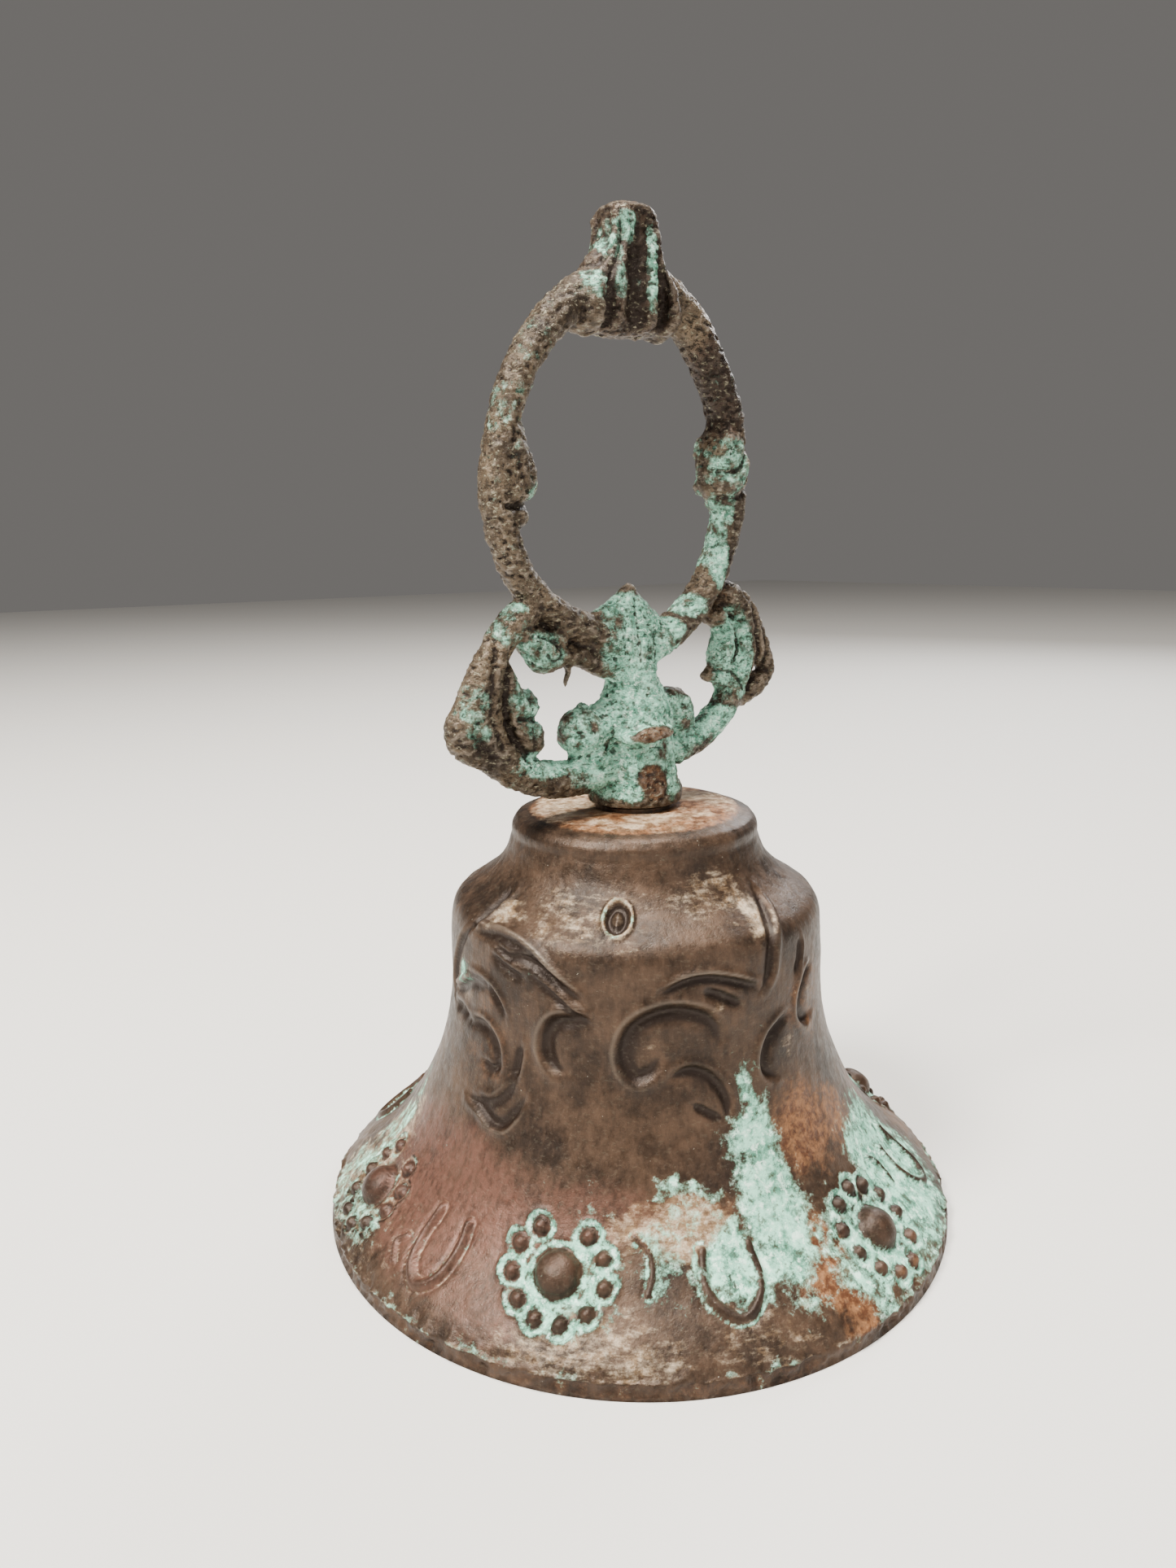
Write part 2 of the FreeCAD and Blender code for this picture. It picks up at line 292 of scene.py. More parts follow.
# Tool marks on the waist and shoulder: (azimuth, height) points, then half width, depth, rim and rim side
SCROLLS = [
    # Left acanthus: long upper arc, veins under it, hook at its end
    ([(-53, 39.7), (-43, 40.2), (-35, 39.8), (-29, 38.9), (-22, 37.0), (-15, 35.0)], 0.55, 0.4, 0.5, 1),
    ([(-43, 39.3), (-38, 38.5), (-33, 38.7), (-26, 37.7), (-20, 35.8)], 0.5, 0.5, 0.3, 1),
    ([(-44, 38.0), (-38, 37.0), (-32, 36.4)], 0.5, 0.5, 0.25, 1),
    ([(-30, 37.0), (-24, 35.6), (-18, 33.9), (-13, 32.9)], 0.4, 0.3, 0.35, 1),
    ([(-12, 32.5), (-17, 32.5), (-22, 31.9), (-24.6, 30.2), (-24.6, 28.4), (-22.6, 27.2), (-20, 26.6)],
     0.85, 0.65, 0.35, -1),
    # Left side leaves
    ([(-56, 34.2), (-50, 34.3), (-45, 33.8), (-41.5, 32.6), (-39.5, 31.2)], 0.55, 0.5, 0.35, 1),
    ([(-67, 30.6), (-61, 31.9), (-55, 33.2), (-48, 33.4)], 0.6, 0.5, 0.5, 1),
    ([(-69, 28.4), (-63, 28.9), (-57, 28.5)], 0.75, 0.6, 0.2, 1),
    ([(-57, 39.8), (-62, 37.4), (-66, 34.8), (-69, 31.6), (-70, 29.6)], 0.45, 0.3, 0.4, -1),
    # Lower left lobes
    ([(-56, 28.2), (-50, 28.9), (-45, 28.4), (-41.6, 26.6), (-41, 24.6)], 0.7, 0.5, 0.3, 1),
    ([(-47, 24.9), (-43, 24.6), (-40, 25.4)], 0.5, 0.5, 0.1, 1),
    ([(-33.2, 28.2), (-33.8, 26.0), (-34.4, 24.4)], 0.6, 0.5, 0.3, 1),
    ([(-34, 24.0), (-37, 22.2), (-41, 20.9), (-46, 20.7)], 0.6, 0.3, 0.3, -1),
    ([(-50, 20.3), (-45, 20.0), (-40, 19.2), (-36, 19.2), (-33, 20.6), (-30.5, 22.6)], 0.6, 0.5, 0.35, -1),
    # Centre scroll with its upper ribs
    ([(6.4, 28.6), (3.8, 27.2), (0, 26.7), (-2.6, 28.0), (-2.8, 30.2), (-0.4, 32.2), (4, 33.4), (9, 33.9),
      (15, 33.6), (20, 32.6), (23.6, 30.2)], 0.85, 0.65, 0.35, 1),
    ([(7, 36.0), (13, 37.1), (20, 37.3), (27, 36.6), (35.4, 35.2)], 0.5, 0.45, 0.45, 1),
    ([(19, 36.0), (24, 35.1), (30, 33.6)], 0.6, 0.6, 0.1, 1),
    ([(9.6, 26.6), (14, 27.1), (18.4, 26.6), (22, 25.2), (24.2, 23.2), (24, 21.4)], 0.6, 0.5, 0.25, 1),
    ([(15, 23.4), (18.6, 22.4), (22.4, 21.4)], 0.5, 0.55, 0.0, 1),
    # Right hooks
    ([(48, 30.4), (44, 29.8), (40.4, 28.9), (37.6, 27.2), (37.4, 25.2), (40.6, 24.2)], 0.65, 0.6, 0.35, -1),
    ([(62, 34.6), (58, 33.9), (55.2, 32.2), (54.4, 30.0), (57, 28.7), (61, 28.6)], 0.75, 0.65, 0.35, -1),
    # Stems that run down over the shoulder
    ([(51, 43.8), (49.6, 42.9), (46, 41.7), (42.6, 40.2), (41.2, 38.4), (40, 36.2), (37.6, 34.8)],
     0.65, 0.5, 0.3, 1),
    ([(-53.6, 43.8), (-53.2, 42.4), (-54.4, 40.6), (-57, 39.6)], 0.65, 0.45, 0.3, 1),
    ([(55.4, 38.6), (54.6, 36.6), (52.4, 34.8)], 0.45, 0.35, 0.25, 1),
]


def scrollwork(wall, half):
    """Leaf scrolls on the waist, repeated on the bell's two halves."""
    for points, width, groove, rim, side in SCROLLS:
        wall.stroke([(a + half, z) for a, z in points], width, groove, rim, side)

    # Small oval on the shoulder with a bar inside
    pick, x, y = wall.near(-5.7 + half, 42.9, 4.5)
    oval = np.hypot(x / 1.15, y / 1.75)
    ring = np.exp(-((oval - 0.8) / 0.28) ** 2)
    bar = np.exp(-(x / 0.3) ** 2) * (oval < 0.75)
    rim = np.exp(-((oval - 1.42) / 0.22) ** 2)
    wall.height[pick] += 0.25 * bar - 0.4 * ring + 0.35 * rim
    at_least(wall.cavity, pick, ring)
    at_least(wall.pale, pick, 1.5 * rim)
    at_least(wall.halo, pick, 0.45 * rim)


def flare_ornament(wall, half):
    """Rosettes with horseshoes and small crescents between them."""
    wall.rosette(-66.8 + half, 6.7, True, 0.35)
    wall.rosette(-14.8 + half, 8.1, True, 0.9)
    wall.rosette(52.9 + half, 6.6, False, 1.0)
    for middle, low, high, spread, green in ((-40.6, 4.2, 9.5, 4.2, 0.25), (17.7, 5.3, 10.0, 4.8, 0.7),
                                             (78.0, 4.6, 9.6, 4.4, 0.9)):
        a = middle + half
        left = [(a - spread, high), (a - spread - 0.5, high * 0.75), (a - spread * 0.75, low + 0.9)]
        right = [(a + spread * 0.75, low + 0.9), (a + spread + 0.4, high * 0.75), (a + spread, high)]
        wall.ridge(left + [(a, low)] + right, 0.48, 0.5, green)
    for crescent, rise, green in (([(-0.5, 11.4), (2.4, 10.2), (3.0, 8.8), (2.0, 7.2)], 0.3, 0.8),
                                  ([(65.5, 10.6), (67.6, 9.6), (68.0, 8.4), (67.4, 7.4)], 0.35, 0.9),
                                  ([(-48.6, 6.4), (-50.2, 5.6), (-47.6, 4.4)], 0.3, 0.1)):
        wall.ridge([(a + half, z) for a, z in crescent], 0.3, rise, green)
    wall.stroke([(17 + half, 8.4), (18.6 + half, 6.8)], 0.22, 0.35, 0.0, 1)


def patch(az, z, azimuth, height, half_az, half_z):
    """Soft-edged oval patch, 1 in its middle and 0.5 on its rim."""
    turn = (az - azimuth + 180.0) % 360.0 - 180.0
    d = np.hypot(turn / half_az, (z - height) / half_z)
    return 1.0 / (1.0 + np.exp(4.5 * (d - 1.0)))


# Patches as (azimuth, height, half width in degrees, half height in mm, amount). Those of the back half are
# the last in each list.
VERDIGRIS = [(31, 12.5, 8.5, 6.5, 1.0), (31, 18.5, 6.5, 4.5, 1.0), (30, 23, 2.6, 3.0, 0.9),
             (25, 8, 11, 2.4, 1.0), (17, 9, 5, 3.2, 0.85), (5, 9.5, 5, 2.6, 0.6), (9, 15.2, 7, 1.0, 0.6),
             (10, 12.4, 9, 1.8, 0.42),
             (73, 8, 14, 6.5, 1.0), (64, 12.5, 7, 2.6, 0.85), (46, 5.5, 7, 4.4, 0.75), (62, 4.5, 9, 3.4, 0.8),
             (-81, 9, 6, 9, 0.6), (-70, 4.4, 14, 2.4, 0.55), (47, 8, 4, 3, 0.7),
             (-60, 34.2, 4, 1.6, 0.8), (-9, 9, 8, 5, 0.35),
             (118, 8, 14, 6, 1.0), (150, 15, 9, 9, 0.8), (168, 7, 16, 4, 0.9), (-150, 9, 12, 6, 0.7),
             (-118, 5.5, 14, 4, 0.7), (-175, 17, 5, 6, 0.7)]
RUST = [(37.5, 6, 4.6, 5.5, 1.0), (48, 18, 13, 5, 0.85), (62, 16, 9, 5, 0.8), (57, 3.2, 12, 1.8, 0.6),
        (60, 30, 12, 7, 0.55), (9, 12.6, 12, 3.4, 0.7), (-45, 28, 12, 8, 0.4), (135, 22, 16, 9, 0.8),
        (-165, 20, 14, 9, 0.7), (100, 5, 10, 4, 0.6)]
RED = [(-48, 11, 30, 7, 1.0), (-12, 13, 18, 3.4, 0.7), (-28, 5, 16, 3.5, 0.6), (-128, 13, 26, 8, 0.9),
       (88, 14, 10, 6, 0.6)]
DUST = [(-78, 8, 12, 9, 0.95), (-64, 5, 16, 5, 0.6), (-22, 42.6, 26, 2.6, 0.62), (-8, 44.6, 16, 2.0, 0.6),
        (30, 44.6, 18, 2.2, 0.7), (43, 42.4, 6, 1.8, 1.0), (-47, 41.8, 5, 2.0, 1.0), (-60, 33, 9, 4, 0.55),
        (8, 11.8, 12, 3.2, 1.0), (-8, 3.6, 18, 2.8, 0.72), (20, 3.6, 14, 2.0, 0.6), (4, 30, 4, 1.8, 0.5),
        (25, 34.2, 3.4, 1.4, 0.75), (45, 27, 4, 1.8, 0.55), (60, 31.4, 4, 2, 0.6),
        (-22, 29.4, 2, 1.5, 0.4), (170, 44.5, 40, 3, 0.6),
        (140, 8, 16, 6, 0.5)]


def bell_masks(az, z, points, outside, wall):
    """Where verdigris, rust, red copper tone and pale dust lie."""
    broad = field(points, 6.5, 4, 21.0)
    small = field(points, 1.7, 4, 33.0)
    az_w = az + 5.0 * broad + 1.6 * small
    z_w = z + 1.3 * field(points, 5.0, 4, 41.0) - 0.7 * small

    def lay(patches):
        mask = np.zeros(len(az))
        for azimuth, height, half_az, half_z, amount in patches:
            np.maximum(mask, amount * patch(az_w, z_w, azimuth, height, half_az, half_z), out=mask)
        return mask

    verdigris = lay(VERDIGRIS)
    rust = lay(RUST)
    dust = lay(DUST)
    lip = step(z, 3.0 + 1.8 * broad, 0.9)
    left = 0.5 - 0.5 * np.sin(np.radians(az + 20))
    verdigris = np.maximum(verdigris, lip * np.clip(0.2 + 0.35 * left + 0.8 * broad, 0.0, 0.7))
    verdigris = np.maximum(verdigris, wall.halo * (1 + 0.7 * small))
    verdigris *= 1 - 0.9 * wall.bare
    dust = np.maximum(dust, np.maximum(0.8 * wall.pale, 0.95 * lip))
    dust *= 1 - 0.8 * wall.bare
    crown = step(z, 50.85, 51.3)
    rust = np.maximum(rust, (1.0 - 0.5 * broad) * crown)
    dust = np.maximum(dust, (0.72 + 0.6 * broad) * crown)
    inside = 1.0 - outside
    return {"verdigris": verdigris * outside + inside * 0.12,
            "rust": rust * outside + 0.4 * inside,
            "red": np.maximum(lay(RED), 0.35 * wall.bare) * outside + 0.2 * inside,
            "dust": dust * outside + 0.2 * inside,
            "cavity": wall.cavity * outside + 0.25 * inside,
            "worn": wall.worn * outside}


def make_bell():
    rows = bell_rows()
    radius = np.array([r for r, z, n in rows])
    height = np.array([z for r, z, n in rows])
    line = np.stack([radius, height], -1)
    along = np.concatenate([[0], np.cumsum(np.linalg.norm(np.diff(line, axis=0), axis=1))])
    flow = np.roll(line, -1, axis=0) - np.roll(line, 1, axis=0)
    flow /= np.linalg.norm(flow, axis=1)[:, None]
    normal_r = flow[:, 1]
    normal_z = -flow[:, 0]
    counts = np.array([n for r, z, n in rows])
    starts = np.concatenate([[0], np.cumsum(counts)])
    index = np.repeat(np.arange(len(rows)), counts)
    turn = np.concatenate([np.arange(n) * 360.0 / n for n in counts])
    azimuth = (turn + 90.0 - ORNAMENT_TURN + 180.0) % 360.0 - 180.0
    r = radius[index]
    z = height[index]
    s = along[index]
    shoulder_end = along[np.argmax(height > 50.5)]
    crown_width = 13.0
    outside = (s <= shoulder_end + crown_width).astype(float)

    wall = Surface(azimuth, np.where(s <= shoulder_end, s, OFF_THE_WALL), r)
    for half in (0.0, 180.0):
        flare_ornament(wall, half)
        scrollwork(wall, half)

    angle = np.radians(turn)
    points = np.stack([r * np.cos(angle), r * np.sin(angle), z], -1)
    cast = 0.10 * field(points, 9.0, 3) + 0.035 * field(points, 1.6, 3, 4.0)
    edge = np.exp(-((np.hypot(r - MOUTH_R, z - 1.2)) / 1.7) ** 2)
    chips = field(points, 3.4, 4, 9.0)
    wear = edge * (0.75 * np.abs(chips) + 0.4 * np.abs(field(points, 1.2, 3, 2.0)))

    # The rim's foot, the crown and the ceiling stay plain, where other pieces or the floor touch them.
    lift = wall.height + cast * (1 - step(abs(r - 4.0), 5.0, 2.0)) - wear
    lift = np.where(z < 0.05, 0.0, lift)
    lift = np.where((z > 50.9) | ((z > 47.0) & (r < 12.7)), 0.0, lift)
    r2 = r + lift * normal_r[index]
    z2 = np.maximum(z + lift * normal_z[index], 0.0)
    points = np.stack([r2 * np.cos(angle), r2 * np.sin(angle), z2], -1)

    faces = []
    for i in range(len(rows)):
        j = (i + 1) % len(rows)
        faces += ring_faces(starts[i], counts[i], starts[j], counts[j])
    masks = bell_masks(azimuth, z, points, outside, wall)
    return make_mesh("bell_casting", points, faces, masks)


# ---------------------------------------------------------------- handle casting

def tube(points, count, sides, cap=1.0):
    """Closed bar through (x, z, half width in plane, half depth, y) points; cap is how far its ends bulge."""
    full = [tuple(p) + (0.0,) * (5 - len(p)) for p in points]
    line = smooth_line(full, count)
    tangent = np.gradient(line[:, :2], axis=0)
    tangent /= np.linalg.norm(tangent, axis=1)[:, None]
    vertices = []
    rings = []
    for turn in (80, 60, 35):
        rings.append((line[0], tangent[0], -math.sin(math.radians(turn)), math.cos(math.radians(turn))))
    rings += [(line[i], tangent[i], 0.0, 1.0) for i in range(count)]
    for turn in (35, 60, 80):
        rings.append((line[-1], tangent[-1], math.sin(math.radians(turn)), math.cos(math.radians(turn))))
    for place, flow, push, shrink in rings:
        x, z, wide, deep, y = place
        push *= cap
        for k in range(sides):
            a = 2 * math.pi * k / sides
            u = wide * shrink * math.cos(a)
            vertices.append((x + flow[0] * push * wide - flow[1] * u, y + deep * shrink * math.sin(a),
                             z + flow[1] * push * wide + flow[0] * u))
    faces = []
    for i in range(len(rings) - 1):
        for k in range(sides):
            m = (k + 1) % sides
            faces.append((i * sides + k, (i + 1) * sides + k, (i + 1) * sides + m, i * sides + m))
    faces.append(tuple(range(sides)))
    faces.append(tuple((len(rings) - 1) * sides + k for k in range(sides))[::-1])
    return np.array(vertices), faces


def lump(x, z, rx, ry, rz, lean=0.0):
    """Ellipsoid; lean turns it in the handle's plane, in degrees."""
    tilt = math.radians(lean)
    up = (math.sin(tilt) * rz * 0.96, math.cos(tilt) * rz * 0.96)
    line = []
    for k in range(9):
        a = math.radians(-75 + 150 * k / 8)
        line.append((x + up[0] * math.sin(a), z + up[1] * math.sin(a), rx * math.cos(a), ry * math.cos(a)))
    return tube(line, 18, 20)


def handle_parts():
    """The casting as overlapping bars and lumps, in mm, left (x < 0) and right as they really differ."""
    parts = []

    def bar(*shape):
        parts.append(tube(*shape))

    def knob(*shape):
        parts.append(lump(*shape))

    # Foot, stem and the pointed leaf on it
    bar([(0.1, 52.2, 5.85, 5.85), (0.1, 53.4, 5.85, 5.85), (0.1, 55.2, 5.3, 5.4),
         (0.1, 57.6, 4.9, 4.9), (0, 60.4, 4.9, 4.6), (0, 63.0, 5.0, 4.5), (-0.2, 65.2, 4.1, 3.8),
         (-0.4, 67.6, 3.1, 3.2), (-0.4, 70.2, 3.7, 3.0), (-0.4, 72.6, 4.4, 2.6)], 50, 28, 0.06)
    bar([(-0.7, 69.6, 3.8, 2.9), (-1.0, 72.6, 5.2, 2.8), (-1.1, 74.4, 5.3, 2.4),
         (-1.0, 75.2, 4.5, 2.1), (-0.9, 76.8, 2.2, 1.5), (-0.8, 78.5, 0.35, 0.5)], 34, 20, 0.3)
    bar([(-4.2, 60.8, 0.7, 1.5, -3.8), (-1.6, 61.0, 1.1, 1.7, -4.5), (1.4, 61.3, 0.8, 1.5, -4.4)],
        14, 14)

    # Loop, left then right
    bar([(-0.6, 71.0, 2.6, 2.7), (-5.0, 72.4, 2.1, 2.5), (-10.4, 75.0, 1.9, 2.4),
         (-14.2, 77.6, 1.85, 2.35), (-16.7, 81.0, 1.75, 2.3), (-18.1, 85.0, 1.8, 2.3),
         (-18.6, 89.6, 1.9, 2.4), (-17.7, 95.2, 1.75, 2.3), (-16.3, 99.6, 1.8, 2.3),
         (-13.9, 103.8, 1.9, 2.3), (-10.8, 107.2, 2.1, 2.5), (-7.0, 110.0, 2.3, 2.7),
         (-3.0, 111.6, 2.4, 2.8)], 90, 22)
    bar([(0.6, 71.0, 2.6, 2.7), (4.2, 71.8, 2.2, 2.5), (8.2, 74.4, 2.0, 2.4),
         (11.4, 77.8, 1.85, 2.4), (13.5, 81.6, 1.8, 2.4), (14.9, 86.0, 1.8, 2.5),
         (15.3, 90.8, 1.8, 2.6), (15.0, 95.4, 1.9, 2.6), (13.8, 99.8, 2.0, 2.6),
         (11.2, 104.6, 2.1, 2.6), (8.0, 108.6, 2.2, 2.7), (3.4, 111.6, 2.3, 2.8)], 90, 22)

    # Left knop: a leaf sheath that widens downwards and ends in a sharp tip
    bar([(-17.3, 96.6, 1.5, 2.1), (-17.0, 93.4, 2.0, 2.6), (-16.8, 90.6, 2.4, 2.9),
         (-16.7, 88.4, 2.4, 2.8)], 30, 20, 0.25)
    bar([(-15.9, 93.0, 0.9, 1.6, -0.6), (-15.1, 90.6, 1.1, 1.6, -0.6), (-14.8, 88.6, 0.8, 1.1, -0.6)],
        16, 14, 0.5)
    knob(-16.7, 86.4, 1.7, 2.2, 1.7, 20)

    # Right knop: a bulb wrapped by two slanting leaf folds
    bar([(14.6, 97.6, 1.9, 2.5), (14.0, 95.2, 2.5, 2.9), (13.7, 92.4, 3.0, 3.1),
         (13.7, 90.0, 2.8, 3.0), (14.3, 88.0, 2.0, 2.6)], 32, 22, 0.4)
    for side in (-1, 1):
        bar([(11.8, 89.8, 0.8, 1.0, 1.8 * side), (13.4, 90.2, 1.0, 1.1, 2.6 * side),
             (15.0, 92.0, 1.0, 1.1, 2.4 * side), (15.6, 94.4, 0.7, 0.9, 1.6 * side)], 26, 14, 0.5)
        bar([(11.8, 93.6, 0.8, 1.0, 1.8 * side), (13.0, 95.2, 0.9, 1.1, 2.3 * side),
             (14.8, 96.2, 0.8, 0.9, 1.8 * side)], 20, 14, 0.5)

    # Finial: square-shouldered cap on a fluted body that spreads into four lobes
    bar([(-1.4, 107.0, 6.8, 2.7), (-1.5, 110.2, 6.5, 2.9), (-1.3, 112.4, 5.6, 2.9),
         (-1.0, 114.2, 4.2, 2.8), (-0.8, 115.8, 3.45, 2.7), (-0.8, 117.4, 3.3, 2.7),
         (-0.8, 119.0, 3.2, 2.6)], 44, 26, 0.16)
    bar([(-3.3, 118.5, 1.0, 2.7), (-0.8, 119.0, 1.0, 3.2), (1.7, 118.5, 1.0, 2.7)], 22, 18, 0.6)
    for low, high, wide in ((-6.6, -3.3, 1.7), (-4.0, -2.9, 1.2), (0.5, 0.7, 0.8), (3.8, 1.5, 1.1)):
        middle = (low + 2 * high) / 3
        for side in (-1, 1):
            bar([(low, 107.4, wide, 1.7, 1.9 * side), (low, 109.4, wide, 1.7, 2.1 * side),
                 (middle, 112.6, wide * 0.7, 1.5, 2.1 * side),
                 (high, 115.6, wide * 0.55, 1.2, 2.0 * side),
                 (high, 118.2, wide * 0.55, 1.0, 1.8 * side)], 32, 16, 0.5)
        knob(low, 107.2, wide * 1.25, 3.0, 1.3)

    # Left scroll: from the foot out to an angular corner, back up to the loop, with its curl and leaf
    bar([(-1.0, 57.4, 2.0, 2.6), (-6.0, 56.3, 2.1, 2.6), (-11.4, 56.1, 2.2, 2.5),
         (-16.4, 57.6, 2.2, 2.4), (-20.2, 60.6, 2.5, 2.3), (-21.8, 64.0, 3.0, 2.2),
         (-21.2, 67.6, 2.6, 2.2), (-19.8, 71.0, 1.9, 2.1), (-17.5, 74.4, 1.8, 2.1),
         (-14.6, 76.4, 1.7, 2.2)], 80, 22)
    bar([(-21.2, 68.8, 1.6, 1.8), (-22.7, 65.8, 1.9, 2.0), (-24.2, 63.2, 1.8, 2.1),
         (-23.6, 61.5, 1.7, 2.0), (-21.0, 60.0, 1.6, 2.0)], 34, 18, 0.4)
    bar([(-16.4, 73.8, 1.3, 2.0), (-14.2, 72.2, 2.1, 2.3), (-12.9, 70.8, 2.1, 2.3),
         (-11.4, 70.8, 1.7, 2.1)], 20, 18)
    bar([(-12.0, 70.8, 1.7, 2.0), (-8.8, 70.6, 1.3, 1.8), (-5.0, 69.2, 1.5, 2.0),
         (-2.0, 68.4, 1.8, 2.2)], 24, 16)
    bar([(-9.6, 70.2, 0.5, 0.6), (-9.8, 68.6, 0.35, 0.4), (-10.2, 67.2, 0.25, 0.3)], 10, 10)
    knob(-15.9, 65.3, 1.9, 1.7, 1.8, 20)
    knob(-15.4, 61.7, 2.0, 1.8, 2.5, -10)
    bar([(-18.6, 69.4, 1.2, 1.6), (-17.4, 65.4, 1.9, 1.8), (-16.8, 61.2, 1.5, 1.8)], 24, 16)

    # Right scroll, smaller and set higher
    bar([(1.0, 58.4, 2.0, 2.6), (5.6, 57.8, 2.1, 2.5), (10.0, 58.9, 1.9, 2.3),
         (13.8, 61.4, 1.8, 2.1), (16.2, 64.4, 1.8, 2.0), (17.6, 68.0, 2.2, 1.9),
         (18.0, 71.6, 2.1, 1.9), (17.2, 75.0, 1.8, 2.1), (14.6, 76.8, 1.7, 2.2)], 80, 22)
    bar([(18.2, 75.2, 1.1, 1.7), (19.9, 71.8, 1.5, 1.7), (21.4, 68.2, 1.5, 1.6),
         (22.2, 66.6, 1.0, 1.5), (20.6, 65.0, 1.4, 1.6), (17.4, 63.0, 1.0, 1.5)], 34, 16, 0.6)
    bar([(16.6, 69.0, 1.5, 1.6), (14.4, 67.2, 1.7, 1.7), (12.2, 66.6, 1.0, 1.2),
         (11.0, 66.5, 0.4, 0.6)], 20, 14, 0.5)
    bar([(14.6, 72.6, 1.3, 1.7), (14.2, 69.6, 1.7, 1.9), (13.8, 66.8, 1.4, 1.7),
         (15.2, 64.4, 1.0, 1.5)], 24, 16)
    knob(12.9, 74.0, 1.6, 2.0, 1.4)
    knob(-11.4, 72.8, 1.7, 1.9, 1.5)

    # Ball volutes beside the stem
    knob(-7.8, 61.4, 3.2, 3.1, 3.1)
    knob(-4.6, 62.0, 2.6, 3.3, 2.9)
    knob(-6.6, 58.4, 2.6, 2.8, 2.4)
    knob(6.3, 61.9, 2.3, 2.6, 2.6)
    bar([(3.0, 63.6, 1.5, 2.2), (5.6, 64.4, 1.4, 2.1), (7.8, 63.2, 1.1, 1.9), (8.3, 61.0, 0.9, 1.7)],
        24, 16)
    return parts


def join_parts(parts):
    vertices = []
    faces = []
    base = 0
    for v, f in parts:
        vertices.append(v)
        faces += [tuple(i + base for i in face) for face in f]
        base += len(v)
    return np.vstack(vertices), faces


def mesh_arrays(mesh):
    n = len(mesh.vertices)
    points = np.empty(n * 3)
    mesh.vertices.foreach_get("co", points)
    normals = np.empty(n * 3)
    mesh.vertex_normals.foreach_get("vector", normals)
    edges = np.empty(len(mesh.edges) * 2, int)
    mesh.edges.foreach_get("vertices", edges)
    return points.reshape(-1, 3) / MM, normals.reshape(-1, 3), edges.reshape(-1, 2)


def neighbour_mean(values, edges):
    total = np.zeros_like(values)
    count = np.zeros(len(values))
    np.add.at(total, edges[:, 0], values[edges[:, 1]])
    np.add.at(total, edges[:, 1], values[edges[:, 0]])
    np.add.at(count, edges[:, 0], 1)
    np.add.at(count, edges[:, 1], 1)
    if values.ndim == 2:
        count = count[:, None]
    return total / np.maximum(count, 1)


def curvature(points, normals, edges, rounds):
    """Positive on ridges and negative in hollows."""
    bend = np.einsum("ij,ij->i", points - neighbour_mean(points, edges), normals)
    for _ in range(rounds):
        bend = 0.5 * bend + 0.5 * neighbour_mean(bend, edges)
    return bend / (np.percentile(abs(bend), 90) + 1e-9)


def groove_near(points, line, width, depth):
    """Depth of a carved line on the handle's faces, following (x, z) points."""
    path = smooth_line(line, 40)
    d = np.min(np.hypot(points[:, 0][:, None] - path[:, 0], points[:, 2][:, None] - path[:, 1]), axis=1)
    return depth * np.exp(-(d / width) ** 2)


def make_handle():
    vertices, faces = join_parts(handle_parts())
    rough = bpy.data.meshes.new("handle_rough")
    rough.from_pydata((vertices * MM).tolist(), [], faces)
    temp = add_object("handle_rough", rough)
    remesh = temp.modifiers.new("fuse", "REMESH")
    remesh.mode = "VOXEL"
    remesh.voxel_size = HANDLE_VOXEL * MM
    soften = temp.modifiers.new("soften", "SMOOTH")
    soften.factor = 0.5
    soften.iterations = 4
    graph = bpy.context.evaluated_depsgraph_get()
    mesh = bpy.data.meshes.new_from_object(temp.evaluated_get(graph))
    bpy.data.objects.remove(temp)
    mesh.name = "handle_casting"

    points, normals, edges = mesh_arrays(mesh)
    facing = step(np.abs(normals[:, 1]), 0.15, 0.6)
    carved = np.zeros(len(points))
    for line, width, depth in carvings():
        carved = np.maximum(carved, groove_near(points, line, width, depth))
    carved *= facing
    grain = 0.18 * field(points, 1.6, 4, 3.0) + 0.13 * field(points * [1, 1, 1.5], 0.8, 2, 7.0)
    pits = step(field(points * [1, 1, 1.6], 1.0, 3, 12.0), 0.18, 0.62)
    lift = grain - 0.24 * pits - carved
    seat = step(points[:, 2], 52.1, 52.9)
    points = points + normals * (lift * seat)[:, None]
    points[:, 2] = np.clip(points[:, 2], FOOT_Z, TOP_Z)
    mesh.vertices.foreach_set("co", (points * MM).ravel())
    mesh.update()
    points, normals, edges = mesh_arrays(mesh)
    bend = curvature(points, normals, edges, 2)
    mesh.polygons.foreach_set("use_smooth", [True] * len(mesh.polygons))
    store_masks(mesh, handle_masks(points, normals, bend, carved))
    return add_object("handle_casting", mesh)


